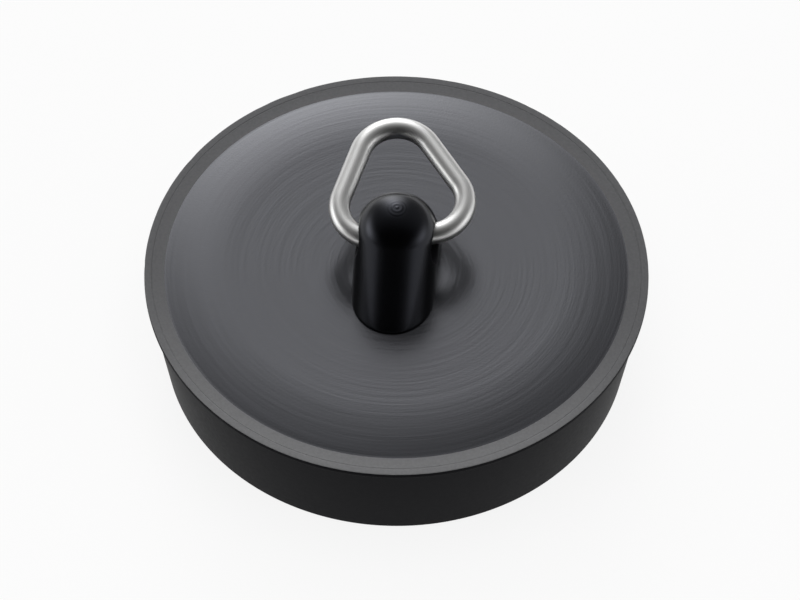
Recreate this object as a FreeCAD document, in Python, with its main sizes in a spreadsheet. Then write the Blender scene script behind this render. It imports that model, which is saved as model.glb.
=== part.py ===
import FreeCAD, Part
import math
import os
import Sketcher

# A drain stopper: a tapered rubber plug with a slightly raised top, a post that snaps into it,
# and a bent wire ring that swings in a cross hole of the post.
# The frame stands on the middle of the underside, +Z up, with the ring's hole along X.

# Driving sizes in millimetres and degrees.
SIZES = (
    ("rim_diameter", 50.0),     # across the lip, the widest part of the plug
    ("plug_height", 11.5),      # underside to the flat rim
    ("rim_width", 2.0),         # flat land between the lip and the raised crown
    ("lip_thickness", 0.6),     # height of the lip's edge
    ("lip_overhang", 0.35),     # how far the lip stands out past the wall
    ("lip_slope", 0.2),         # rise of the lip's underside from the wall to its edge
    ("wall_taper", 1.8),        # how much the wall's radius shrinks from the lip to the foot
    ("foot_round", 0.4),        # round of the plug's lower edge
    ("crown_rise", 0.6),        # rim to the level middle of the crown
    ("crown_flank", 6.5),       # width of the curved flank between the crown's middle and the rim
    ("post_length", 16.4),      # the post's base, front to back
    ("post_width", 8.2),        # the post from side to side, along the ring's hole
    ("post_height", 10.0),      # crown to the top of the dome
    ("post_land", 0.2),         # narrow strip left between the post's two side rounds
    ("hole_height", 5.2),       # crown to the axis of the ring's hole
    ("hole_clearance", 0.25),   # room round the tilted wire in its hole
    ("stem_diameter", 6.0),     # the post's stem through the plug
    ("stem_clearance", 0.1),    # room round the stem
    ("head_diameter", 11.0),    # the retaining head under the plug's web
    ("head_thickness", 2.0),
    ("head_bevel", 0.8),        # lead-in of the head for pushing it through
    ("head_inset", 0.6),        # how far the head stays above the underside
    ("head_gap", 0.3),          # room round the head in its recess
    ("wire_diameter", 2.1),
    ("ring_side_gap", 2.15),    # side of the post to the wire's centre where the ring is widest
    ("ring_height", 12.2),      # bottom to top of the ring, between wire centres
    ("corner_bend", 3.6),       # bend radius of the two lower corners, at the wire's centre
    ("apex_bend", 3.85),        # bend radius of the top, at the wire's centre
    ("butt_gap", 0.4),          # between the wire's two ends, hidden in the hole
    ("ring_lean", 80.0),        # how far the ring leans back from upright at rest
    ("ring_rock", 12.4),        # how far the ring sits turned in its own plane
    ("ring_slide", 0.95),       # how far the ring sits slid along its hole
)

# Places and sizes that follow from the driving sizes, as expressions.
RIM_R = "sizes.rim_diameter / 2"
RIM_INNER_R = RIM_R + " - sizes.rim_width"
CROWN_R = RIM_INNER_R + " - sizes.crown_flank"
WALL_R = RIM_R + " - sizes.lip_overhang"
FOOT_R = WALL_R + " - sizes.wall_taper"
RIM_Z = "sizes.plug_height"
CROWN_Z = RIM_Z + " + sizes.crown_rise"
LIP_Z = RIM_Z + " - sizes.lip_thickness"
WALL_TOP_Z = LIP_Z + " - sizes.lip_slope"
STEM_R = "sizes.stem_diameter / 2"
BORE_R = STEM_R + " + sizes.stem_clearance"
HEAD_R = "sizes.head_diameter / 2"
RECESS_R = HEAD_R + " + sizes.head_gap"
RECESS_Z = "sizes.head_inset + sizes.head_thickness"
DOME_R = "(sizes.post_width + sizes.post_land) / 2"
POST_ROUND = "(sizes.post_width - sizes.post_land) / 2"
DOME_Z = CROWN_Z + " + sizes.post_height - " + DOME_R
HOLE_Z = CROWN_Z + " + sizes.hole_height"
WIRE_R = "sizes.wire_diameter / 2"
HOLE_R = ("sizes.post_width / 2 * tan(sizes.ring_rock * 1 deg) + " + WIRE_R +
          " / cos(sizes.ring_rock * 1 deg) + sizes.hole_clearance")
CORNER_X = "sizes.post_width / 2 + sizes.ring_side_gap - sizes.corner_bend"
APEX_Z = "sizes.ring_height - sizes.apex_bend"

# Sketch references: the two sketch axes, the origin where the first one starts,
# and the points of a line or an arc.
ACROSS_AXIS, UP_AXIS = range(-1, -3, -1)
ORIGIN = ACROSS_AXIS
START, END, CENTRE = range(1, 4)
NEAR = 1e-6

doc = FreeCAD.newDocument("drain_stopper")


# Document helpers

def make_sheet():
    """Put the driving sizes in a spreadsheet, one named cell each."""
    sheet = doc.addObject("Spreadsheet::Sheet", "sizes")
    for row, (name, size) in enumerate(SIZES, start=1):
        sheet.set("A%d" % row, name)
        sheet.set("B%d" % row, str(size))
        sheet.setAlias("B%d" % row, name)
    doc.recompute()
    return sheet


def number(words):
    """The present value of an expression over the sheet."""
    return float(sizes.evalExpression(words))


def make_body(label):
    """An empty body whose label names its file."""
    body = doc.addObject("PartDesign::Body", label)
    body.Label = label
    return body


def make_sketch(body, name, plane):
    """A sketch on one of the body's own origin planes."""
    sketch = body.newObject("Sketcher::SketchObject", name)
    support = next(f for f in body.Origin.OriginFeatures if f.Role == plane)
    sketch.AttachmentSupport = [(support, "")]
    sketch.MapMode = "FlatFace"
    return sketch


def bind(sketch, constraint, words):
    """Add a constraint and let an expression drive its value."""
    index = sketch.addConstraint(constraint)
    sketch.setExpression("Constraints[%d]" % index, words)


def hold_point(sketch, piece, point, across, up):
    """Hold a point of a sketch piece at a place given by two expressions."""
    for kind, axis, words in (("DistanceX", UP_AXIS, across), ("DistanceY", ACROSS_AXIS, up)):
        if words == "0":
            sketch.addConstraint(Sketcher.Constraint("PointOnObject", piece, point, axis))
        else:
            held = Sketcher.Constraint(kind, ORIGIN, START, piece, point, number(words))
            bind(sketch, held, words)


def make_arc(middle, radius, first, last):
    """An arc in sketch coordinates, from one angle round to another."""
    circle = Part.Circle(middle, FreeCAD.Vector(0, 0, 1), radius)
    return Part.ArcOfCircle(circle, first, last)


def flank_arc(low, high):
    """The arc that rises inwards from its low end and runs level at its high end."""
    run = low.x - high.x
    rise = high.y - low.y
    radius = (run ** 2 + rise ** 2) / (2 * rise)
    middle = high - FreeCAD.Vector(0, radius, 0)
    return make_arc(middle, radius, math.atan2(low.y - middle.y, run), math.pi / 2)


def draw_outline(sketch, corners, flank=None):
    """Draw a closed outline through corners given as expressions.

    The side that starts at the corner numbered flank is an arc that runs smoothly into the side after it.
    """
    places = [FreeCAD.Vector(number(across), number(up), 0) for across, up in corners]
    for side, place in enumerate(places):
        following = places[(side + 1) % len(places)]
        if side == flank:
            sketch.addGeometry(flank_arc(place, following))
        else:
            sketch.addGeometry(Part.LineSegment(place, following))
    for side, (across, up) in enumerate(corners):
        after = (side + 1) % len(corners)
        joint = "Tangent" if side == flank else "Coincident"
        sketch.addConstraint(Sketcher.Constraint(joint, side, END, after, START))
        hold_point(sketch, side, START, across, up)


def revolve(body, sketch, name):
    """Turn a sketch once round the body's Z axis."""
    turned = body.newObject("PartDesign::Revolution", name)
    turned.Profile = sketch
    turned.ReferenceAxis = (sketch, ["V_Axis"])
    turned.Angle = 360
    doc.recompute()
    return turned


def round_edges(body, base, name, chosen, words):
    """Round the edges of a feature for which the test chosen is true."""
    names = ["Edge%d" % i for i, edge in enumerate(base.Shape.Edges, start=1) if chosen(edge)]
    rounded = body.newObject("PartDesign::Fillet", name)
    rounded.Base = (base, names)
    rounded.setExpression("Radius", words)
    doc.recompute()
    return rounded


# Sub-parts

def make_plug():
    """The rubber plug, turned from one outline that starts at the foot of its bore."""
    body = make_body("plug_body")
    outline = make_sketch(body, "plug_outline", "XZ_Plane")
    corners = (
        (BORE_R, RECESS_Z),
        (RECESS_R, RECESS_Z),
        (RECESS_R, "0"),
        (FOOT_R, "0"),
        (WALL_R, WALL_TOP_Z),
        (RIM_R, LIP_Z),
        (RIM_R, RIM_Z),
        (RIM_INNER_R, RIM_Z),
        (CROWN_R, CROWN_Z),
        (BORE_R, CROWN_Z),
    )
    draw_outline(outline, corners, flank=7)
    turned = revolve(body, outline, "plug_turned")
    foot_r = number(FOOT_R)

    def is_foot(edge):
        box = edge.BoundBox
        return box.ZMax < NEAR and abs(box.XMax - foot_r) < NEAR

    round_edges(body, turned, "plug_foot", is_foot, "sizes.foot_round")
    return body


def draw_post_side(sketch):
    """The post seen from the side: a level base and two sides that run smoothly into the dome."""
    half = number("sizes.post_length / 2")
    crown = number(CROWN_Z)
    middle = FreeCAD.Vector(0, number(DOME_Z), 0)
    radius = number(DOME_R)
    foot = FreeCAD.Vector(half, crown, 0)
    reach = (middle - foot).Length
    slope = math.atan2(middle.y - crown, half) + math.asin(radius / reach)
    lean = math.pi / 2 - slope
    touch = middle + FreeCAD.Vector(radius * math.cos(lean), radius * math.sin(lean), 0)
    touch_front = FreeCAD.Vector(-touch.x, touch.y, 0)
    foot_front = FreeCAD.Vector(-half, crown, 0)
    base, back, dome, front = range(4)
    sketch.addGeometry(Part.LineSegment(foot_front, foot))
    sketch.addGeometry(Part.LineSegment(foot, touch))
    sketch.addGeometry(make_arc(middle, radius, lean, math.pi - lean))
    sketch.addGeometry(Part.LineSegment(touch_front, foot_front))
    sketch.addConstraint(Sketcher.Constraint("Coincident", base, END, back, START))
    sketch.addConstraint(Sketcher.Constraint("Tangent", back, END, dome, START))
    sketch.addConstraint(Sketcher.Constraint("Tangent", dome, END, front, START))
    sketch.addConstraint(Sketcher.Constraint("Coincident", front, END, base, START))
    sketch.addConstraint(Sketcher.Constraint("Symmetric", base, START, base, END, UP_AXIS))
    hold_point(sketch, base, END, "sizes.post_length / 2", CROWN_Z)
    hold_point(sketch, dome, CENTRE, "0", DOME_Z)
    bind(sketch, Sketcher.Constraint("Radius", dome, radius), DOME_R)


def make_post():
    """The post: a rounded fin on the crown, a stem through the plug and a retaining head."""
    body = make_body("post")
    side = make_sketch(body, "post_side", "YZ_Plane")
    draw_post_side(side)
    fin = body.newObject("PartDesign::Pad", "post_fin")
    fin.Profile = side
    fin.SideType = "Symmetric"
    fin.setExpression("Length", "sizes.post_width")
    doc.recompute()
    crown = number(CROWN_Z)

    def is_side_edge(edge):
        box = edge.BoundBox
        return box.XLength < NEAR and box.ZMax > crown + NEAR

    round_edges(body, fin, "post_rounds", is_side_edge, POST_ROUND)

    stem = make_sketch(body, "stem_outline", "XZ_Plane")
    draw_outline(stem, (
        ("0", CROWN_Z),
        (STEM_R, CROWN_Z),
        (STEM_R, RECESS_Z),
        (HEAD_R, RECESS_Z),
        (HEAD_R, "sizes.head_inset + sizes.head_bevel"),
        (HEAD_R + " - sizes.head_bevel", "sizes.head_inset"),
        ("0", "sizes.head_inset"),
    ))
    solid = revolve(body, stem, "post_stem")

    mouth = make_sketch(body, "ring_hole_outline", "YZ_Plane")
    middle = FreeCAD.Vector(0, number(HOLE_Z), 0)
    mouth.addGeometry(Part.Circle(middle, FreeCAD.Vector(0, 0, 1), number(HOLE_R)))
    hold_point(mouth, 0, CENTRE, "0", HOLE_Z)
    bind(mouth, Sketcher.Constraint("Radius", 0, number(HOLE_R)), HOLE_R)
    before = solid.Shape.Volume
    hole = body.newObject("PartDesign::Pocket", "ring_hole")
    hole.Profile = mouth
    hole.SideType = "Symmetric"
    hole.Type = "ThroughAll"
    doc.recompute()
    if hole.Shape.Volume >= before:
        raise RuntimeError("the ring's hole cut nothing")
    return body


def draw_ring_path(sketch):
    """The wire's centreline: level ends, two lower corners, two legs and the top."""
    corner_x = number(CORNER_X)
    apex_z = number(APEX_Z)
    corner_r = number("sizes.corner_bend")
    apex_r = number("sizes.apex_bend")
    half_gap = number("sizes.butt_gap / 2")
    reach = math.hypot(corner_x, apex_z - corner_r)
    leg = math.atan2(corner_x, apex_z - corner_r) - math.asin((apex_r - corner_r) / reach)
    outward = FreeCAD.Vector(math.cos(leg), math.sin(leg), 0)
    right = FreeCAD.Vector(corner_x, corner_r, 0)
    top = FreeCAD.Vector(0, apex_z, 0)

    def mirrored(place):
        return FreeCAD.Vector(-place.x, place.y, 0)

    low = right + outward * corner_r
    high = top + outward * apex_r
    butt = FreeCAD.Vector(half_gap, 0, 0)
    turn = FreeCAD.Vector(corner_x, 0, 0)
    right_end, right_corner, _, apex, _, left_corner, left_end = range(7)
    sketch.addGeometry(Part.LineSegment(butt, turn))
    sketch.addGeometry(make_arc(right, corner_r, -math.pi / 2, leg))
    sketch.addGeometry(Part.LineSegment(low, high))
    sketch.addGeometry(make_arc(top, apex_r, leg, math.pi - leg))
    sketch.addGeometry(Part.LineSegment(mirrored(high), mirrored(low)))
    sketch.addGeometry(make_arc(mirrored(right), corner_r, math.pi - leg, 3 * math.pi / 2))
    sketch.addGeometry(Part.LineSegment(mirrored(turn), mirrored(butt)))
    for piece in range(left_end):
        sketch.addConstraint(Sketcher.Constraint("Tangent", piece, END, piece + 1, START))
    hold_point(sketch, right_end, START, "sizes.butt_gap / 2", "0")
    hold_point(sketch, right_corner, CENTRE, CORNER_X, "sizes.corner_bend")
    bind(sketch, Sketcher.Constraint("Radius", right_corner, corner_r), "sizes.corner_bend")
    hold_point(sketch, apex, CENTRE, "0", APEX_Z)
    bind(sketch, Sketcher.Constraint("Radius", apex, apex_r), "sizes.apex_bend")
    sketch.addConstraint(Sketcher.Constraint("Equal", right_corner, left_corner))
    pairs = ((right_corner, CENTRE, left_corner, CENTRE), (right_end, START, left_end, END))
    for pair in pairs:
        sketch.addConstraint(Sketcher.Constraint("Symmetric", *pair, UP_AXIS))


def make_ring():
    """The pull ring: round wire along its path, set leaning in the post's hole."""
    body = make_body("pull_ring")
    path = make_sketch(body, "ring_path", "XZ_Plane")
    draw_ring_path(path)
    section = make_sketch(body, "wire_section", "YZ_Plane")
    section.setExpression("AttachmentOffset.Base.z", "sizes.butt_gap / 2")
    section.addGeometry(Part.Circle(FreeCAD.Vector(0, 0, 0), FreeCAD.Vector(0, 0, 1), number(WIRE_R)))
    section.addConstraint(Sketcher.Constraint("Coincident", 0, CENTRE, ORIGIN, START))
    bind(section, Sketcher.Constraint("Radius", 0, number(WIRE_R)), WIRE_R)
    doc.recompute()
    wire = body.newObject("PartDesign::AdditivePipe", "ring_wire")
    wire.Profile = section
    wire.Spine = path
    body.setExpression("Placement", (
        "placement(vector(0; 0; " + HOLE_Z + "); rotation(vector(1; 0; 0); -sizes.ring_lean))"
        " * placement(vector(0; 0; 0); rotation(vector(0; -1; 0); sizes.ring_rock))"
        " * placement(vector(sizes.ring_slide; 0; 0); rotation(vector(0; 0; 1); 0))"
    ))
    doc.recompute()
    print("ring volume over wire section times length: %.4f" % (
        wire.Shape.Volume / (math.pi * number(WIRE_R) ** 2 * path.Shape.Length)))
    return body


def check(parts):
    """Stop before anything is written if a feature failed or a shape is unsound."""
    for item in doc.Objects:
        if "Invalid" in item.State or "Error" in item.State:
            raise RuntimeError("%s failed: %s" % (item.Label, item.State))
    for part in parts:
        if part.Shape.isNull() or not part.Shape.isValid() or len(part.Shape.Solids) != 1:
            raise RuntimeError("%s has no sound single solid" % part.Label)


sizes = make_sheet()
parts = (make_plug(), make_post(), make_ring())
doc.recompute()
check(parts)
os.makedirs("parts", exist_ok=True)
for part in parts:
    part.Shape.exportStep("parts/%s.step" % part.Label)
    print("%s: %.1f mm3" % (part.Label, part.Shape.Volume))
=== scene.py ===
# %% [markdown]
# # A drain stopper with a swinging pull ring
#
# The stopper has three pieces: a rubber disc with a slightly raised top, a glossy black post that
# stands in the middle of it, and a bent wire ring that turns in a cross hole of the post.
# The CAD model already fixes every size and the ring's hinge. Here each piece is modelled
# again with more detail, takes the place of its CAD node, and gets a finish made of nodes.

# %% Load the CAD frame
import math
import bpy
from mathutils import Matrix, Vector, noise


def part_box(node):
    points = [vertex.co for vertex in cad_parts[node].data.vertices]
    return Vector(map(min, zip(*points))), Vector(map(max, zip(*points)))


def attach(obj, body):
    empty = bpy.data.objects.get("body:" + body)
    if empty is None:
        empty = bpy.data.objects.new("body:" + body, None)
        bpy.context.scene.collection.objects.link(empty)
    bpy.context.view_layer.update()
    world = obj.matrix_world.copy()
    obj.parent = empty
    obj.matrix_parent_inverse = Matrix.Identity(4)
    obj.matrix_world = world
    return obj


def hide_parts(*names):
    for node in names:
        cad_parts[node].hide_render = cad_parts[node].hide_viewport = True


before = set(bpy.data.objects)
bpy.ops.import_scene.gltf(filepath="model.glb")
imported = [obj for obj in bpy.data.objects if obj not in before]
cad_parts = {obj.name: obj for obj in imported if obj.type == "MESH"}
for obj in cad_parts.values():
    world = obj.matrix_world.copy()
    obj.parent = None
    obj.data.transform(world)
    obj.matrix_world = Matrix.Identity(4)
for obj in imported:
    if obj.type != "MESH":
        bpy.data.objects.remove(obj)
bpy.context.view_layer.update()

# %% [markdown]
# ## The camera
#
# The photograph was taken from well above with a long lens. A long lens from far away makes
# the two sides of the disc look almost the same size, so the lens and the distance go together.
# The focal length was measured in pixels of the picture, so it is turned into millimetres here.

# %% Add the camera
MM = 0.001
FOCAL_PX = 15133.0
FRAME_WIDTH_PX = 800.0
SENSOR_WIDTH = 36.0

bpy.ops.object.select_all(action="DESELECT")
bpy.ops.object.camera_add()
camera = bpy.context.object
camera.name = "photo_camera"
camera.data.sensor_width = SENSOR_WIDTH
camera.data.lens = FOCAL_PX * SENSOR_WIDTH / FRAME_WIDTH_PX
camera.data.clip_start = 10.0 * MM
bpy.context.scene.camera = camera
bpy.context.scene.view_settings.view_transform = "Standard"
print("camera lens %.1f mm" % camera.data.lens)

# %% [markdown]
# The camera looks at the middle of the rim from a place that two angles give. Then its aim is moved
# a little so that the disc sits where it does in the picture, and it is rolled by a fraction of a
# degree. Three directions at right angles, to its right, up and back, make up its turn.

# %% Aim the camera
RIM_TOP = 11.5 * MM
CAMERA_DISTANCE = 1500.0 * MM
CAMERA_ELEVATION = math.radians(52.19)
CAMERA_AZIMUTH = math.radians(5.5)
CAMERA_ROLL = math.radians(0.62)
AIM_RIGHT_PX = 3.55
AIM_DOWN_PX = 26.7

rim_middle = Vector((0.0, 0.0, RIM_TOP))
towards_eye = Vector((
    math.cos(CAMERA_ELEVATION) * math.sin(CAMERA_AZIMUTH),
    -math.cos(CAMERA_ELEVATION) * math.cos(CAMERA_AZIMUTH),
    math.sin(CAMERA_ELEVATION),
))
eye = rim_middle + towards_eye * CAMERA_DISTANCE
level_right = (-towards_eye).cross(Vector((0.0, 0.0, 1.0))).normalized()
level_up = level_right.cross(-towards_eye)
right = level_right * math.cos(CAMERA_ROLL) + level_up * math.sin(CAMERA_ROLL)
up = level_up * math.cos(CAMERA_ROLL) - level_right * math.sin(CAMERA_ROLL)
px = CAMERA_DISTANCE / FOCAL_PX
aim = rim_middle + right * AIM_RIGHT_PX * px - up * AIM_DOWN_PX * px
back = (eye - aim).normalized()
right = (right - back * right.dot(back)).normalized()
up = back.cross(right)
turn = Matrix((right, up, back)).transposed().to_4x4()
camera.matrix_world = Matrix.Translation(eye) @ turn
print("camera at", [round(v, 4) for v in eye])

# %% [markdown]
# ## Drawing an outline by hand
#
# Round pieces are easiest as half an outline that is spun about the axis, as on a lathe.
# A flat plane is added and its corners are merged to a single vertex. That vertex is then
# extruded from corner to corner of the outline, one step at a time.

# %% Helpers for outlines
WELD = 0.001 * MM


def start_outline(name, across, height):
    """Begin a mesh as one vertex in the XZ plane, in edit mode."""
    bpy.ops.object.select_all(action="DESELECT")
    bpy.ops.mesh.primitive_plane_add(size=MM)
    piece = bpy.context.object
    piece.name = name
    bpy.ops.object.mode_set(mode="EDIT")
    bpy.ops.mesh.select_mode(type="VERT")
    bpy.ops.mesh.select_all(action="SELECT")
    bpy.ops.mesh.merge(type="CENTER")
    bpy.ops.transform.translate(value=(across, 0.0, height))
    return piece


def extrude_outline(places):
    """Carry the outline on from each place to the next; the first is where it stands."""
    for (x0, z0), (x1, z1) in zip(places, places[1:]):
        step = (x1 - x0, 0.0, z1 - z0)
        bpy.ops.mesh.extrude_vertices_move(TRANSFORM_OT_translate={"value": step})


def weld_points():
    """Merge the points of the whole mesh that lie on each other."""
    bpy.ops.mesh.select_all(action="SELECT")
    bpy.ops.mesh.remove_doubles(threshold=WELD)


def spin_outline(steps):
    """Turn the outline once round Z, close its seam and point its faces outwards."""
    bpy.ops.mesh.select_all(action="SELECT")
    bpy.ops.mesh.spin(steps=steps, angle=2 * math.pi, center=(0, 0, 0), axis=(0, 0, 1))
    weld_points()
    bpy.ops.mesh.normals_make_consistent(inside=False)


# %% [markdown]
# Edges are picked by where they lie instead of by hand. One helper goes through all the edges of a
# piece and selects those that pass a test, so that a bevel can round them. Another leaves edit
# mode and shades the piece: faces that meet at a small angle look like one smooth surface.

# %% Helpers for edges and shading
NEAR = 0.002 * MM


def from_axis(point):
    """Distance of a point from the Z axis."""
    return math.hypot(point.x, point.y)


def on_circle(radius, height):
    """A test for edges that lie on one circle round Z."""
    def both_near(*ends):
        return all(abs(from_axis(end) - radius) < NEAR and abs(end.z - height) < NEAR
                   for end in ends)
    return both_near


def pick_edges(piece, test):
    """Select the edges whose two ends pass a test, and say how many there are."""
    bpy.ops.mesh.select_mode(type="EDGE")
    bpy.ops.mesh.select_all(action="DESELECT")
    bpy.ops.object.mode_set(mode="OBJECT")
    points = piece.data.vertices
    count = 0
    for edge in piece.data.edges:
        first, last = (points[i].co for i in edge.vertices)
        edge.select = test(first, last)
        count += edge.select
    bpy.ops.object.mode_set(mode="EDIT")
    return count


def finish_shape(piece, angle):
    """Leave edit mode and smooth the faces that meet at less than an angle in degrees."""
    bpy.ops.object.mode_set(mode="OBJECT")
    bpy.ops.object.shade_smooth_by_angle(angle=math.radians(angle))
    print(piece.name, "has", len(piece.data.polygons), "faces")


# %% [markdown]
# ## The rubber disc
#
# The disc is one moulding with a thin lip, a wall that narrows towards the drain, and a crown
# that stands a little higher than the flat rim. It is spun from its half outline. Apart from the
# groove, which is added here, its sizes are those of the CAD model. The bore and the recess below
# it hold the foot of the post.

# %% Sizes of the disc
BORE = 3.1 * MM
RECESS = 5.8 * MM
RECESS_TOP = 2.6 * MM
CROWN_RINGS = (5.0 * MM, 9.0 * MM, 13.0 * MM)
CROWN_EDGE = 16.5 * MM
CROWN = 12.1 * MM
RIM_INNER = 23.0 * MM
RIM_OUTER = 25.0 * MM
LIP_UNDER = 10.9 * MM
WALL_TOP = (24.65 * MM, 10.7 * MM)
FOOT = 22.85 * MM
GROOVE = 24.28 * MM
GROOVE_HALF = 0.07 * MM
GROOVE_DEPTH = 0.035 * MM
print("disc %.1f mm wide and %.1f mm high" % (2 * RIM_OUTER / MM, CROWN / MM))

# %% [markdown]
# The crown is level in the middle and falls to the rim in an arc. The arc starts level too, so no
# crease shows where it begins, and it is drawn in many short steps because a mirror-like surface
# shows every corner. A hair-fine groove runs round the rim.

# %% Outline of the disc
FLANK_STEPS = 26

flank_run = RIM_INNER - CROWN_EDGE
flank_fall = CROWN - RIM_TOP
flank_radius = (flank_run ** 2 + flank_fall ** 2) / (2 * flank_fall)
flank_angle = math.asin(flank_run / flank_radius)
flank = []
for step in range(1, FLANK_STEPS + 1):
    swing = flank_angle * step / FLANK_STEPS
    flank.append((CROWN_EDGE + flank_radius * math.sin(swing),
                  CROWN - flank_radius * (1 - math.cos(swing))))

groove = [(GROOVE - GROOVE_HALF, RIM_TOP), (GROOVE, RIM_TOP - GROOVE_DEPTH),
          (GROOVE + GROOVE_HALF, RIM_TOP)]

disc_outline = [(BORE, RECESS_TOP), (BORE, CROWN)]
disc_outline += [(radius, CROWN) for radius in (*CROWN_RINGS, CROWN_EDGE)]
disc_outline += flank + groove
disc_outline += [(RIM_OUTER, RIM_TOP), (RIM_OUTER, LIP_UNDER), WALL_TOP, (FOOT, 0.0),
                 (RECESS, 0.0), (RECESS, RECESS_TOP), (BORE, RECESS_TOP)]
print("outline of the disc:", len(disc_outline), "places")

# %% [markdown]
# Spinning the outline gives a skin of even strips. Bevels then take the sharpness off the edges: a
# fine one along the lip, which was cut, and a wider one at the foot, which has to slip into the
# drain.

# %% Spin the disc and round its edges
DISC_STEPS = 288
DISC_EDGES = (
    (RIM_OUTER, RIM_TOP, 0.07 * MM, 3),
    (RIM_OUTER, LIP_UNDER, 0.08 * MM, 3),
    (FOOT, 0.0, 0.4 * MM, 6),
    (RECESS, 0.0, 0.25 * MM, 3),
)

disc = start_outline("rubber_disc", *disc_outline[0])
extrude_outline(disc_outline)
spin_outline(DISC_STEPS)
for radius, height, width, segments in DISC_EDGES:
    count = pick_edges(disc, on_circle(radius, height))
    bpy.ops.mesh.bevel(offset=width, segments=segments, affect="EDGES")
    print("rounded", count, "edges at radius %.1f mm" % (radius / MM))
finish_shape(disc, angle=20)

# %% [markdown]
# A ground rubber edge is never quite even. The lip's top edge is pulled in here and there by a
# few hundredths of a millimetre, using noise so that every run gives the same nicks.

# %% Wear the lip's edge
NICK_DEPTH = 0.05 * MM
NICK_DROP = 0.5
NICK_SCALE = 900.0
NICK_START = 0.15
LIP_EDGE_WIDTH = 0.1 * MM
LIP_EDGE_HEIGHT = 0.12 * MM

worn = 0
for vertex in disc.data.vertices:
    radius = from_axis(vertex.co)
    if radius > RIM_OUTER - LIP_EDGE_WIDTH and vertex.co.z > RIM_TOP - LIP_EDGE_HEIGHT:
        wear = max(0.0, noise.noise(vertex.co * NICK_SCALE) - NICK_START)
        shrink = 1.0 - wear * NICK_DEPTH / radius
        vertex.co.x *= shrink
        vertex.co.y *= shrink
        vertex.co.z -= wear * NICK_DEPTH * NICK_DROP
        worn += wear > 0
print("nicked", worn, "points of the lip")

# %% [markdown]
# ## The post
#
# The post is a thick fin: seen from the side it is a wide foot that runs up into a round head.
# Its outline is the base line, then the arc of the head. The two straight sides just touch that
# arc, so the angle where it starts is worked out from the foot's length and the head's radius.

# %% Outline of the fin
POST_HALF_LENGTH = 8.2 * MM
POST_WIDTH = 8.2 * MM
DOME_RADIUS = 4.17 * MM
DOME_HEIGHT = 17.9 * MM
DOME_STEPS = 48

reach = math.hypot(POST_HALF_LENGTH, DOME_HEIGHT - CROWN)
slope = math.atan2(DOME_HEIGHT - CROWN, POST_HALF_LENGTH) + math.asin(DOME_RADIUS / reach)
touch_angle = math.pi / 2 - slope
fin_outline = [(-POST_HALF_LENGTH, CROWN), (POST_HALF_LENGTH, CROWN)]
for step in range(DOME_STEPS + 1):
    swing = touch_angle + (math.pi - 2 * touch_angle) * step / DOME_STEPS
    fin_outline.append((DOME_RADIUS * math.cos(swing), DOME_HEIGHT + DOME_RADIUS * math.sin(swing)))
fin_outline.append(fin_outline[0])
print("outline of the fin:", len(fin_outline), "places")

# %% [markdown]
# The outline is closed, filled with a face and extruded until it is as thick as the post. It was
# drawn along X, so the fin is turned by a quarter to lie along Y, and the turn is applied.

# %% Make the fin
fin = start_outline("hinge_post", *fin_outline[0])
extrude_outline(fin_outline)
weld_points()
bpy.ops.mesh.edge_face_add()
bpy.ops.mesh.extrude_region_move(TRANSFORM_OT_translate={"value": (0.0, POST_WIDTH, 0.0)})
bpy.ops.mesh.select_all(action="SELECT")
bpy.ops.mesh.normals_make_consistent(inside=False)
bpy.ops.transform.translate(value=(0.0, -POST_WIDTH / 2, 0.0))
bpy.ops.object.mode_set(mode="OBJECT")
fin.rotation_euler = (0.0, 0.0, math.pi / 2)
bpy.ops.object.transform_apply(rotation=True)
print("fin measures", [round(v / MM, 2) for v in fin.dimensions], "mm")

# %% [markdown]
# All the edges of the post are rounded until its two sides nearly meet. One large bevel does it,
# on the edges of both sides apart from those in the base. Bevels that run into each other are
# wanted here, so the tool may not clamp them, and the points that fall together are merged.

# %% Round the fin
POST_ROUND = 4.0 * MM
ROUND_SEGMENTS = 20
FIN_NEAR = 0.01 * MM


def on_fin_side(first, last):
    """Whether an edge lies in one side of the fin, above its base."""
    along_side = abs(first.x - last.x) < FIN_NEAR
    above_base = max(first.z, last.z) > CROWN + FIN_NEAR
    return along_side and above_base


bpy.ops.object.mode_set(mode="EDIT")
count = pick_edges(fin, on_fin_side)
bpy.ops.mesh.bevel(offset=POST_ROUND, segments=ROUND_SEGMENTS, affect="EDGES", clamp_overlap=False)
weld_points()
finish_shape(fin, angle=30)
print("rounded", count, "edges of the fin")

# %% [markdown]
# Below the crown the post goes on as a stem with a wide head, which is pushed through the bore and
# then holds the post in the disc. Both are round, so they are spun like the disc. The stem reaches
# a little way up into the fin, so that the two can be joined.

# %% Stem and retaining head
STEM = 3.0 * MM
STEM_TOP = CROWN + MM
HEAD = 5.5 * MM
HEAD_BEVEL = 0.8 * MM
HEAD_LOW = 0.6 * MM
STEM_STEPS = 96

stem_outline = [(0.0, STEM_TOP), (STEM, STEM_TOP), (STEM, RECESS_TOP), (HEAD, RECESS_TOP),
                (HEAD, HEAD_LOW + HEAD_BEVEL), (HEAD - HEAD_BEVEL, HEAD_LOW), (0.0, HEAD_LOW)]
stem = start_outline("post_stem", *stem_outline[0])
extrude_outline(stem_outline)
spin_outline(STEM_STEPS)
finish_shape(stem, angle=30)

# %% [markdown]
# Rubber was pressed into the mould at the top of the dome. It left a gate mark there, a tiny pip
# inside two faint rings. It is spun as a thin cap that follows the dome, a few hundredths of a
# millimetre above it. The dome was made that much lower than in the CAD model to leave room for it.
# Each pair of numbers is a radius and a height over the dome in millimetres.

# %% The gate mark
GATE_STEPS = 64
GATE_PROFILE = (
    (0.0, 0.028), (0.1, 0.024), (0.16, 0.006), (0.22, 0.002), (0.34, 0.004),
    (0.42, 0.018), (0.52, 0.02), (0.6, 0.006), (0.72, 0.004), (0.8, 0.014),
    (0.9, 0.014), (1.0, 0.002), (1.08, -0.02), (1.08, -0.2), (0.0, -0.2),
)

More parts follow.
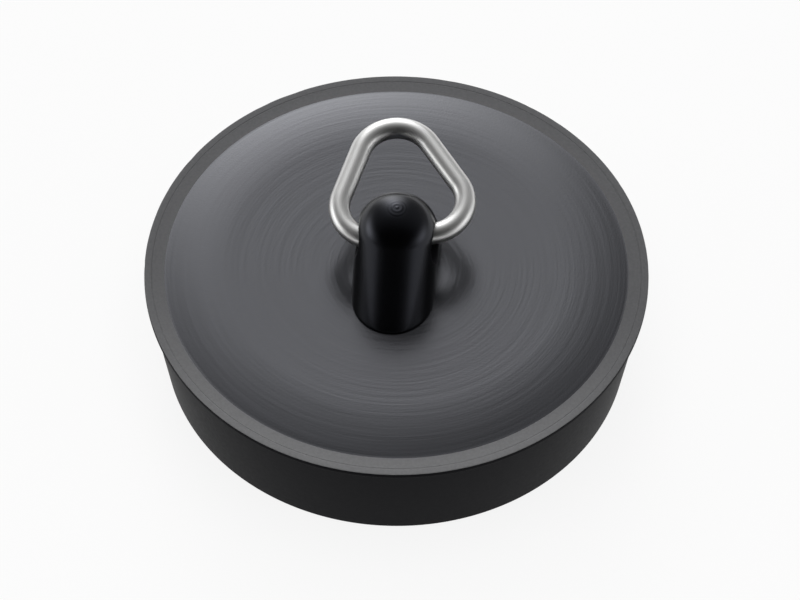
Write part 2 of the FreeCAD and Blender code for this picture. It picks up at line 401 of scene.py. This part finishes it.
gate_outline = []
for radius, lift in GATE_PROFILE:
    dome = DOME_HEIGHT + math.sqrt(DOME_RADIUS ** 2 - (radius * MM) ** 2)
    gate_outline.append((radius * MM, dome + lift * MM))
gate = start_outline("gate_mark", *gate_outline[0])
extrude_outline(gate_outline)
spin_outline(GATE_STEPS)
finish_shape(gate, angle=40)

# %% [markdown]
# A cylinder the size of the hole serves as the drill. One Boolean modifier joins the stem to the
# fin and a second takes the drill away from both. They are applied in that order, and the stem
# and the drill are deleted.

# %% Cut the cross hole and join
HOLE_HEIGHT = 17.3 * MM
HOLE_RADIUS = 2.23 * MM
HOLE_SIDES = 96

bpy.ops.object.select_all(action="DESELECT")
bpy.ops.mesh.primitive_cylinder_add(
    vertices=HOLE_SIDES, radius=HOLE_RADIUS, depth=4 * POST_WIDTH,
    location=(0.0, 0.0, HOLE_HEIGHT), rotation=(0.0, math.pi / 2, 0.0))
drill = bpy.context.object
bpy.ops.object.select_all(action="DESELECT")
bpy.context.view_layer.objects.active = fin
fin.select_set(True)
for tool, operation in ((stem, "UNION"), (drill, "DIFFERENCE")):
    cut = fin.modifiers.new(tool.name, "BOOLEAN")
    cut.object = tool
    cut.operation = operation
    cut.solver = "EXACT"
    bpy.ops.object.modifier_apply(modifier=cut.name)
for tool in (stem, drill):
    bpy.data.objects.remove(tool)
print("post with stem and hole has", len(fin.data.polygons), "faces")

# %% [markdown]
# The Booleans leave long thin faces that shade badly. A voxel remesh lays an even skin of small
# squares over the post instead, and a little smoothing rounds its edges as in moulded rubber.
# The gate mark goes on last so that it stays sharp.

# %% Lay an even skin over the post
SKIN_STEP = 0.11 * MM
SKIN_SOFTEN = 0.5
SKIN_ROUNDS = 8

skin = fin.modifiers.new("skin", "REMESH")
skin.mode = "VOXEL"
skin.voxel_size = SKIN_STEP
bpy.ops.object.modifier_apply(modifier=skin.name)
bpy.ops.object.mode_set(mode="EDIT")
bpy.ops.mesh.select_all(action="SELECT")
bpy.ops.mesh.vertices_smooth(factor=SKIN_SOFTEN, repeat=SKIN_ROUNDS)
finish_shape(fin, angle=60)
gate.select_set(True)
bpy.ops.object.join()
print("post from %.2f to %.2f mm" % (min(v.co.z for v in fin.data.vertices) / MM,
                                    max(v.co.z for v in fin.data.vertices) / MM))

# %% [markdown]
# ## The pull ring
#
# The ring is one length of drawn wire bent into a rounded triangle, with its two ends butted
# inside the post. Its middle line is made of straight runs and three bends. The legs touch the
# bends at both ends, so their slant follows from where the bends are and how wide they are.

# %% Sizes of the ring
WIRE = 1.05 * MM
CORNER_X = 2.65 * MM
CORNER_BEND = 3.6 * MM
APEX_Z = 8.35 * MM
APEX_BEND = 3.85 * MM
HALF_BUTT_GAP = 0.2 * MM

centre_reach = math.hypot(CORNER_X, APEX_Z - CORNER_BEND)
leg_angle = (math.atan2(CORNER_X, APEX_Z - CORNER_BEND)
             - math.asin((APEX_BEND - CORNER_BEND) / centre_reach))
outward = Vector((math.cos(leg_angle), 0.0, math.sin(leg_angle)))
leg = (Vector((0.0, 0.0, APEX_Z)) + outward * APEX_BEND
       - Vector((CORNER_X, 0.0, CORNER_BEND)) - outward * CORNER_BEND)
end_run = Vector((CORNER_X - HALF_BUTT_GAP, 0.0, 0.0))
print("legs %.2f mm long" % (leg.length / MM))

# %% [markdown]
# The ring is made as the real one is bent: a circle the size of the wire is extruded along each
# straight run and spun round each bend.

# %% Bend the wire
WIRE_SIDES = 32
CORNER_STEPS = 28
APEX_STEPS = 30


def run_wire(step):
    """Extrude the wire's open end straight on."""
    bpy.ops.mesh.extrude_region_move(TRANSFORM_OT_translate={"value": tuple(step)})


def bend_wire(centre, angle, steps):
    """Spin the wire's open end round a bend in the XZ plane."""
    bpy.ops.mesh.spin(steps=steps, angle=angle, center=centre, axis=(0.0, 1.0, 0.0))


bpy.ops.object.select_all(action="DESELECT")
bpy.ops.mesh.primitive_circle_add(
    vertices=WIRE_SIDES, radius=WIRE, location=(HALF_BUTT_GAP, 0.0, 0.0),
    rotation=(0.0, math.pi / 2, 0.0))
ring = bpy.context.object
ring.name = "wire_ring"
bpy.ops.object.transform_apply(location=True, rotation=True)
bpy.ops.object.mode_set(mode="EDIT")
bpy.ops.mesh.select_all(action="SELECT")
run_wire(end_run)
bend_wire((CORNER_X, 0.0, CORNER_BEND), math.pi / 2 + leg_angle, CORNER_STEPS)
run_wire(leg)
bend_wire((0.0, 0.0, APEX_Z), math.pi - 2 * leg_angle, APEX_STEPS)
run_wire(Vector((leg.x, 0.0, -leg.z)))
bend_wire((-CORNER_X, 0.0, CORNER_BEND), math.pi / 2 + leg_angle, CORNER_STEPS)
run_wire(end_run)
bpy.ops.object.mode_set(mode="OBJECT")
turns = len(ring.data.vertices) // WIRE_SIDES
low = min(v.co.z for v in ring.data.vertices) / MM
high = max(v.co.z for v in ring.data.vertices) / MM
print("wire of", turns, "circles, from %.2f to %.2f mm" % (low, high))

# %% [markdown]
# Drawing leaves fine lines along the wire. For a texture to follow them round the bends, each
# corner of each face gets the length along the wire and the angle round it as its UV place. Every
# step added one circle of points in the same order, so both can be read from a point's number.
# In the strip that closes the circle the angle goes on to a full turn instead of back to zero.

# %% Write the wire's length and angle into a UV map
circles = []
for turn_number in range(turns):
    start = turn_number * WIRE_SIDES
    circle = [ring.data.vertices[start + side].co for side in range(WIRE_SIDES)]
    circles.append(sum(circle, Vector()) / WIRE_SIDES)
lengths = [0.0]
for before, after in zip(circles, circles[1:]):
    lengths.append(lengths[-1] + (after - before).length)

wire_map = ring.data.uv_layers.new(name="wire_map")
for face in ring.data.polygons:
    sides = [ring.data.loops[i].vertex_index % WIRE_SIDES for i in face.loop_indices]
    crosses_seam = max(sides) - min(sides) > 1
    for loop_index, side in zip(face.loop_indices, sides):
        around = WIRE_SIDES if crosses_seam and side == 0 else side
        along = lengths[ring.data.loops[loop_index].vertex_index // WIRE_SIDES]
        wire_map.data[loop_index].uv = (along / MM, around / WIRE_SIDES)
print("wire length %.1f mm" % (lengths[-1] / MM))

# %% [markdown]
# The wire's two open ends get flat caps. Then the ring goes to its place in the cross hole. There
# it has slid a little to one side, rocked over to that side and leaned back, because the hole is
# much wider than the wire. The CAD ring's height shows whether the place is right.

# %% Cap the ends and hang the ring in the post
RING_LEAN = math.radians(80.0)
RING_ROCK = math.radians(12.4)
RING_SLIDE = 0.95 * MM

bpy.ops.object.mode_set(mode="EDIT")
bpy.ops.mesh.select_mode(type="EDGE")
bpy.ops.mesh.select_all(action="DESELECT")
bpy.ops.mesh.select_non_manifold()
bpy.ops.mesh.fill_holes(sides=0)
bpy.ops.mesh.select_all(action="SELECT")
bpy.ops.mesh.normals_make_consistent(inside=False)
finish_shape(ring, angle=40)
ring.matrix_world = (Matrix.Translation((0.0, 0.0, HOLE_HEIGHT))
                     @ Matrix.Rotation(-RING_LEAN, 4, "X")
                     @ Matrix.Rotation(-RING_ROCK, 4, "Y")
                     @ Matrix.Translation((RING_SLIDE, 0.0, 0.0)))
bpy.ops.object.transform_apply(location=True, rotation=True)
cad_ring_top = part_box("pull_ring")[1].z
print("ring top %.2f mm, CAD ring top %.2f mm" % (
    max(v.co.z for v in ring.data.vertices) / MM, cad_ring_top / MM))

# %% [markdown]
# ## Finishes
#
# Each finish is a Principled shader with a few texture nodes. Small functions add the nodes and
# link them, so that a finish reads as a short list of what is on the surface. Each starts with
# plain values that are set on the shader itself. Where a pattern is linked, it varies them.

# %% Helpers for shaders and sums
def new_finish(name, colour, roughness, specular, metallic=0.0):
    """A material with a Principled shader, and its node tree."""
    finish = bpy.data.materials.new(name)
    finish.use_nodes = True
    shader = finish.node_tree.nodes["Principled BSDF"]
    shader.inputs["Base Color"].default_value = (*colour, 1.0)
    shader.inputs["Roughness"].default_value = roughness
    shader.inputs["Specular IOR Level"].default_value = specular
    shader.inputs["Metallic"].default_value = metallic
    return finish, finish.node_tree, shader


def add_node(tree, kind, **settings):
    """Add a node and set its properties."""
    node = tree.nodes.new(kind)
    for name, value in settings.items():
        setattr(node, name, value)
    return node


def add_math(tree, operation, first, second):
    """A math node whose inputs are sockets or plain numbers."""
    node = add_node(tree, "ShaderNodeMath", operation=operation)
    for socket, value in zip(node.inputs, (first, second)):
        if isinstance(value, (int, float)):
            socket.default_value = value
        else:
            tree.links.new(value, socket)
    return node.outputs[0]


def add_blend(tree, first, first_share, second, second_share):
    """The sum of two values, each taken by its share."""
    return add_math(tree, "ADD", add_math(tree, "MULTIPLY", first, first_share),
                    add_math(tree, "MULTIPLY", second, second_share))


# %% [markdown]
# The next helpers make patterns and put them to use: noise, which is the start of all of them, a
# spread of its values over a new range, a smooth ramp, a blend of two colours, and a bump that
# tilts the light on the surface without moving it.

# %% Helpers for patterns
def add_noise(tree, vector, scale, detail=3.0, roughness=0.5):
    """A noise texture on a vector; gives its grey output."""
    node = add_node(tree, "ShaderNodeTexNoise")
    node.inputs["Scale"].default_value = scale
    node.inputs["Detail"].default_value = detail
    node.inputs["Roughness"].default_value = roughness
    tree.links.new(vector, node.inputs["Vector"])
    return node.outputs["Fac"]


def add_range(tree, value, low, high):
    """Spread a 0 to 1 value over a new range."""
    node = add_node(tree, "ShaderNodeMapRange")
    tree.links.new(value, node.inputs["Value"])
    node.inputs["To Min"].default_value = low
    node.inputs["To Max"].default_value = high
    return node.outputs["Result"]


def add_ramp(tree, value, start, end, low, high):
    """Go smoothly from a low to a high level while a value runs from start to end."""
    node = add_node(tree, "ShaderNodeMapRange", interpolation_type="SMOOTHSTEP")
    tree.links.new(value, node.inputs["Value"])
    for name, level in (("From Min", start), ("From Max", end), ("To Min", low), ("To Max", high)):
        node.inputs[name].default_value = level
    return node.outputs["Result"]


def add_shades(tree, value, dark, light):
    """Blend between two colours, given as sockets or numbers, by a value."""
    node = add_node(tree, "ShaderNodeMix", data_type="RGBA")
    tree.links.new(value, node.inputs["Factor"])
    for name, colour in (("A", dark), ("B", light)):
        if isinstance(colour, tuple):
            node.inputs[name].default_value = (*colour, 1.0)
        else:
            tree.links.new(colour, node.inputs[name])
    return node.outputs["Result"]


def add_bump(tree, shader, height, strength, distance):
    """Raise a grey pattern on the surface."""
    node = add_node(tree, "ShaderNodeBump")
    node.inputs["Strength"].default_value = strength
    node.inputs["Distance"].default_value = distance
    tree.links.new(height, node.inputs["Height"])
    tree.links.new(node.outputs["Normal"], shader.inputs["Normal"])


# %% [markdown]
# A pattern has to know where on the piece it is. All the finishes read Object coordinates or the
# wire's own map, so a pattern stays on its piece when it moves. For tool marks the place is bent
# round the axis: it changes quickly with the radius and slowly with the angle.

# %% Helpers for places
def object_place(tree):
    """The point on the piece, in Object coordinates."""
    return add_node(tree, "ShaderNodeTexCoord").outputs["Object"]


def add_axes(tree, vector):
    """The three parts of a vector."""
    node = add_node(tree, "ShaderNodeSeparateXYZ")
    tree.links.new(vector, node.inputs["Vector"])
    return [node.outputs[name] for name in "XYZ"]


def turned_place(tree, place, around, outward_scale):
    """A vector that changes quickly with the radius and slowly round the axis."""
    flat = add_node(tree, "ShaderNodeVectorMath", operation="MULTIPLY")
    flat.inputs[1].default_value = (1.0, 1.0, 0.0)
    tree.links.new(place, flat.inputs[0])
    radius = add_node(tree, "ShaderNodeVectorMath", operation="LENGTH")
    tree.links.new(flat.outputs["Vector"], radius.inputs[0])
    heading = add_node(tree, "ShaderNodeVectorMath", operation="NORMALIZE")
    tree.links.new(flat.outputs["Vector"], heading.inputs[0])
    wide = add_node(tree, "ShaderNodeVectorMath", operation="SCALE")
    wide.inputs["Scale"].default_value = around
    tree.links.new(heading.outputs["Vector"], wide.inputs[0])
    lift = add_node(tree, "ShaderNodeCombineXYZ")
    tree.links.new(add_math(tree, "MULTIPLY", radius.outputs["Value"], outward_scale),
                   lift.inputs["Z"])
    total = add_node(tree, "ShaderNodeVectorMath", operation="ADD")
    tree.links.new(wide.outputs["Vector"], total.inputs[0])
    tree.links.new(lift.outputs["Vector"], total.inputs[1])
    return total.outputs["Vector"]


# %% [markdown]
# The crown was cut on a lathe, so fine rings run round it. Noise that is stretched round the
# axis gives broken rings, which look more like real tool marks than perfect circles do. The rubber
# is dark and takes most of its brightness from what it mirrors, so its specular level is high.
# The tint makes that shine a little cooler than the light, as it is on black rubber.

# %% Turned rubber for the crown
CROWN_TINT = (0.9, 0.92, 1.0, 1.0)

crown_rubber, tree, shader = new_finish(
    "turned_rubber", colour=(0.008, 0.008, 0.0095), roughness=0.22, specular=0.89)
shader.inputs["Specular Tint"].default_value = CROWN_TINT
place = object_place(tree)
turned = turned_place(tree, place, around=1.2, outward_scale=2400.0)
rings = add_noise(tree, turned, scale=1.0, detail=4.0, roughness=0.6)
grain = add_noise(tree, place, scale=5200.0, detail=2.0)
marks = add_ramp(tree, rings, start=0.35, end=0.65, low=0.0, high=1.0)
shades = add_shades(tree, marks, (0.0045, 0.0045, 0.0053), (0.0125, 0.0125, 0.0145))
tree.links.new(shades, shader.inputs["Base Color"])
tree.links.new(add_range(tree, rings, low=0.19, high=0.26), shader.inputs["Roughness"])
add_bump(tree, shader, add_blend(tree, rings, 0.7, grain, 0.3), strength=0.85, distance=0.028 * MM)
print("crown finish has", len(tree.nodes), "nodes")

# %% [markdown]
# The rim was cut too, but its face is dull and grey. Painted light makes it lighter towards the
# front
# than at the back: a plain pair of greys and a lighter pair for painted light are blended along Y
# by a smooth ramp.

# %% Cut rubber for the rim
rim_rubber, tree, shader = new_finish(
    "cut_rubber", colour=(0.12, 0.1205, 0.125), roughness=0.65, specular=0.1)
place = object_place(tree)
turned = turned_place(tree, place, around=2.0, outward_scale=2600.0)
rings = add_noise(tree, turned, scale=1.0, detail=3.0, roughness=0.6)
grain = add_noise(tree, place, scale=3800.0)
plain = add_shades(tree, grain, (0.1, 0.1005, 0.104), (0.142, 0.1425, 0.148))
# Painted light: a lighter pair of greys for the front of the rim.
painted_light_greys = add_shades(tree, grain, (0.165, 0.166, 0.17), (0.23, 0.231, 0.236))
# The share of painted light grows from the middle of the rim towards its front.
front = add_ramp(tree, add_axes(tree, place)[1], start=0.0, end=-RIM_OUTER, low=0.0, high=1.0)
tree.links.new(add_shades(tree, front, plain, painted_light_greys), shader.inputs["Base Color"])
add_bump(tree, shader, add_blend(tree, rings, 0.4, grain, 0.6), strength=0.3, distance=0.02 * MM)
print("rim finish has", len(tree.nodes), "nodes")

# %% [markdown]
# The wall and the underside came out of the mould as they are. They are nearly black and hardly
# shine, with a fine grain that breaks up what shine there is.

# %% Moulded rubber for the wall and the underside
BLACK_TINT = (0.8, 0.84, 1.0, 1.0)

wall_rubber, tree, shader = new_finish(
    "moulded_rubber", colour=(0.004, 0.004, 0.005), roughness=0.5, specular=0.03)
shader.inputs["Specular Tint"].default_value = BLACK_TINT
grain = add_noise(tree, object_place(tree), scale=2600.0)
shades = add_shades(tree, grain, (0.0028, 0.0028, 0.0036), (0.0052, 0.0052, 0.0064))
tree.links.new(shades, shader.inputs["Base Color"])
tree.links.new(add_range(tree, grain, low=0.42, high=0.55), shader.inputs["Roughness"])
add_bump(tree, shader, grain, strength=0.2, distance=0.02 * MM)
print("wall finish has", len(tree.nodes), "nodes")

# %% [markdown]
# The post was moulded in a polished mould. It is the blackest piece, and all that shows on it is
# the soft bands it mirrors, so its colour is next to nothing and only its roughness varies.

# %% Glossy rubber for the post
post_rubber, tree, shader = new_finish(
    "glossy_rubber", colour=(0.0006, 0.0006, 0.0007), roughness=0.2, specular=0.35)
shader.inputs["Specular Tint"].default_value = BLACK_TINT
grain = add_noise(tree, object_place(tree), scale=1800.0)
tree.links.new(add_range(tree, grain, low=0.17, high=0.23), shader.inputs["Roughness"])
add_bump(tree, shader, grain, strength=0.08, distance=0.02 * MM)
print("post finish has", len(tree.nodes), "nodes")

# %% [markdown]
# Inside the cross hole the wire has rubbed the gloss away, so the hole is rough and dull.

# %% Dull rubber for the hole
bore_rubber, tree, shader = new_finish(
    "dull_rubber", colour=(0.009, 0.009, 0.0105), roughness=0.7, specular=0.06)
grain = add_noise(tree, object_place(tree), scale=2400.0)
tree.links.new(add_range(tree, grain, low=0.6, high=0.8), shader.inputs["Roughness"])
add_bump(tree, shader, grain, strength=0.2, distance=0.02 * MM)
print("hole finish has", len(tree.nodes), "nodes")

# %% [markdown]
# The wire was drawn through a die, so its marks run along it. The UV map gives the length and the
# angle, and a mapping node stretches the noise: slow along the wire, quick round it. The streaks
# then change the steel's colour, its roughness and its relief together.

# %% Drawn steel for the ring
STREAK_SCALE = (0.6, 60.0, 1.0)

ring_steel, tree, shader = new_finish(
    "drawn_steel", colour=(0.75, 0.75, 0.745), roughness=0.38, specular=0.5, metallic=1.0)
wire_uv = add_node(tree, "ShaderNodeUVMap", uv_map="wire_map").outputs["UV"]
stretch = add_node(tree, "ShaderNodeMapping")
stretch.inputs["Scale"].default_value = STREAK_SCALE
tree.links.new(wire_uv, stretch.inputs["Vector"])
streaks = add_noise(tree, stretch.outputs["Vector"], scale=1.0, detail=3.0, roughness=0.6)
tree.links.new(add_range(tree, streaks, low=0.32, high=0.44), shader.inputs["Roughness"])
shades = add_shades(tree, streaks, (0.66, 0.66, 0.655), (0.84, 0.84, 0.83))
tree.links.new(shades, shader.inputs["Base Color"])
add_bump(tree, shader, streaks, strength=0.2, distance=0.01 * MM)
print("ring finish has", len(tree.nodes), "nodes")

# %% [markdown]
# A mesh can hold several materials, and each face keeps the number of its own. On the disc the
# number follows from where a face lies: inside the rim, on the rim's flat face, or below it. On
# the post the faces close to the hole's axis get the dull rubber.

# %% Put the finishes on the pieces
RIM_FACE_DEPTH = 0.1 * MM
RIM_FACE_TILT = 0.2
HOLE_MARGIN = 0.15 * MM

for piece, finishes in (
        (disc, (crown_rubber, rim_rubber, wall_rubber)),
        (fin, (post_rubber, bore_rubber)),
        (ring, (ring_steel,))):
    for finish in finishes:
        piece.data.materials.append(finish)

for face in disc.data.polygons:
    if from_axis(face.center) < RIM_INNER and face.center.z > RIM_TOP:
        face.material_index = 0
    elif face.center.z > RIM_TOP - RIM_FACE_DEPTH and face.normal.z > RIM_FACE_TILT:
        face.material_index = 1
    else:
        face.material_index = 2
for face in fin.data.polygons:
    from_hole = math.hypot(face.center.y, face.center.z - HOLE_HEIGHT)
    face.material_index = int(from_hole < HOLE_RADIUS + HOLE_MARGIN)
print("crown, rim and wall faces:", [
    sum(face.material_index == number for face in disc.data.polygons) for number in range(3)])

# %% [markdown]
# Each piece now takes the place of its CAD node and rides on that node's body. The disc and the
# post belong to the plug, and the ring swings on its hinge. Each row also gives a slot, a name for
# the piece's material.

# %% Let the pieces ride on the CAD bodies
for piece, body, node, slot in (
        (disc, "plug", "plug_body", "plug_rubber"),
        (fin, "plug", "post", "post_rubber"),
        (ring, "ring", "pull_ring", "ring_steel")):
    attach(piece, body)
    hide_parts(node)
    print(piece.name, "rides on", body, "in place of", node)

# %% [markdown]
# ## Floor, light and world
#
# The photograph has a plain white ground. The floor is a round sheet of white paper. It shows the
# camera some of its own white, so that it looks pale without strong lamps, and it still takes
# the soft shadow.

# %% The paper floor
PAPER_RADIUS = 2.0
PAPER_SIDES = 96
PAPER_SHINE = 0.88

bpy.ops.object.select_all(action="DESELECT")
bpy.ops.mesh.primitive_circle_add(vertices=PAPER_SIDES, radius=PAPER_RADIUS, fill_type="NGON")
floor = bpy.context.object
floor.name = "paper_floor"

paper, tree, shader = new_finish(
    "white_paper", colour=(0.95, 0.95, 0.95), roughness=0.9, specular=0.1)
path = add_node(tree, "ShaderNodeLightPath")
seen = add_math(tree, "MAXIMUM", path.outputs["Is Camera Ray"], path.outputs["Is Glossy Ray"])
seen = add_math(tree, "MAXIMUM", seen, path.outputs["Is Transmission Ray"])
glow = add_node(tree, "ShaderNodeEmission")
blend = add_node(tree, "ShaderNodeMixShader")
tree.links.new(add_math(tree, "MULTIPLY", seen, PAPER_SHINE), blend.inputs["Fac"])
tree.links.new(shader.outputs["BSDF"], blend.inputs[1])
tree.links.new(glow.outputs["Emission"], blend.inputs[2])
tree.links.new(blend.outputs["Shader"], tree.nodes["Material Output"].inputs["Surface"])
floor.data.materials.append(paper)
print("paper floor %.1f m wide" % (2 * PAPER_RADIUS))

# %% [markdown]
# A wide lamp overhead, which no glossy surface mirrors, lifts the dull rubber to a plain level. Its
# power is worked out from its area and from how bright each part of it should be.

# %% The overhead lamp
LAMP_PLACE = Vector((0.0, -0.2, 2.2))
LAMP_SIDE = 2.0
LAMP_RADIANCE = 1.7

bpy.ops.object.select_all(action="DESELECT")
bpy.ops.object.light_add(type="AREA", location=LAMP_PLACE)
overhead = bpy.context.object
overhead.name = "overhead_fill"
overhead.visible_camera = False
overhead.visible_glossy = False
overhead.data.shape = "SQUARE"
overhead.data.size = LAMP_SIDE
overhead.data.energy = LAMP_RADIANCE * math.pi * LAMP_SIDE * LAMP_SIDE
overhead.rotation_euler = (rim_middle - LAMP_PLACE).to_track_quat("-Z", "Y").to_euler()
print("overhead lamp: %.2f W" % overhead.data.energy)

# %% [markdown]
# The pieces tell where the light stood. The crown mirrors a soft glow behind the stopper, a little
# to the left, that is strongest above the horizon and fades upwards and to both sides without an
# edge. Two weaker glows low at the sides draw the thin lines along the wire. All three are written
# into the world as bell-shaped functions of the direction.

# %% Helpers for the glows
def add_distance(tree, value, centre, spread):
    """How many spreads a value lies from a centre."""
    return add_math(tree, "DIVIDE", add_math(tree, "SUBTRACT", value, centre), spread)


def add_bell(tree, across, upward):
    """A level that is 1 where both distances are 0 and falls off like a bell."""
    away = add_math(tree, "ADD", add_math(tree, "MULTIPLY", across, across),
                    add_math(tree, "MULTIPLY", upward, upward))
    return add_math(tree, "EXPONENT", add_math(tree, "MULTIPLY", away, -0.5), 0.0)


# %% [markdown]
# The room itself is grey behind the stopper and dark in front of it. The glow behind is added to
# that. It leans a little, and it fades more slowly below its middle than above it.

# %% The room and the glow behind
ROOM_FRONT = 0.015
ROOM_BACK = 0.33
ROOM_FRONT_DEPTH = -0.75
ROOM_BACK_DEPTH = 0.6
BACK_GLOW = 4.2
BACK_DEPTH = 0.3
BACK_SIDE = -0.19
BACK_SPREAD = 0.176
BACK_HEIGHT = 0.476
BACK_FADE = 0.21
BACK_SLANT = 0.18
BACK_LOW = -0.525

world = bpy.data.worlds.new("studio")
bpy.context.scene.world = world
world.use_nodes = True
tree = world.node_tree
background = tree.nodes["Background"]
background.inputs["Color"].default_value = (1.0, 1.0, 1.0, 1.0)
sideways, depth, height = add_axes(tree, add_node(tree, "ShaderNodeTexCoord").outputs["Generated"])

above = add_distance(tree, height, BACK_HEIGHT, BACK_FADE)
aside = add_math(tree, "SUBTRACT", add_distance(tree, sideways, BACK_SIDE, BACK_SPREAD),
                 add_math(tree, "MULTIPLY", above, BACK_SLANT))
rise = add_math(tree, "MAXIMUM", above, add_math(tree, "MULTIPLY", above, BACK_LOW))
bell = add_bell(tree, aside, rise)
behind = add_ramp(tree, depth, start=0.0, end=BACK_DEPTH, low=0.0, high=BACK_GLOW)
room = add_ramp(tree, depth, start=ROOM_FRONT_DEPTH, end=ROOM_BACK_DEPTH,
                low=ROOM_FRONT, high=ROOM_BACK)
light = add_math(tree, "ADD", room, add_math(tree, "MULTIPLY", bell, behind))
print("room and back glow have", len(tree.nodes), "nodes")

# %% [markdown]
# The glows at the sides are bells as well, each with its side, its depth and its level. A ramp
# keeps each to its own side.

# %% The glows at the sides
SIDE_SPREAD = 0.27
SIDE_HEIGHT = 0.14
SIDE_FADE = 0.13
SIDE_REACH = 0.6
SIDE_GLOWS = ((-1.0, -0.05, 3.2), (1.0, -0.15, 2.0))

for side, side_depth, level in SIDE_GLOWS:
    bell = add_bell(tree, add_distance(tree, depth, side_depth, SIDE_SPREAD),
                    add_distance(tree, height, SIDE_HEIGHT, SIDE_FADE))
    beside = add_ramp(tree, sideways, start=0.0, end=SIDE_REACH * side, low=0.0, high=level)
    light = add_math(tree, "ADD", light, add_math(tree, "MULTIPLY", bell, beside))
tree.links.new(light, background.inputs["Strength"])
print("world has", len(tree.nodes), "nodes")
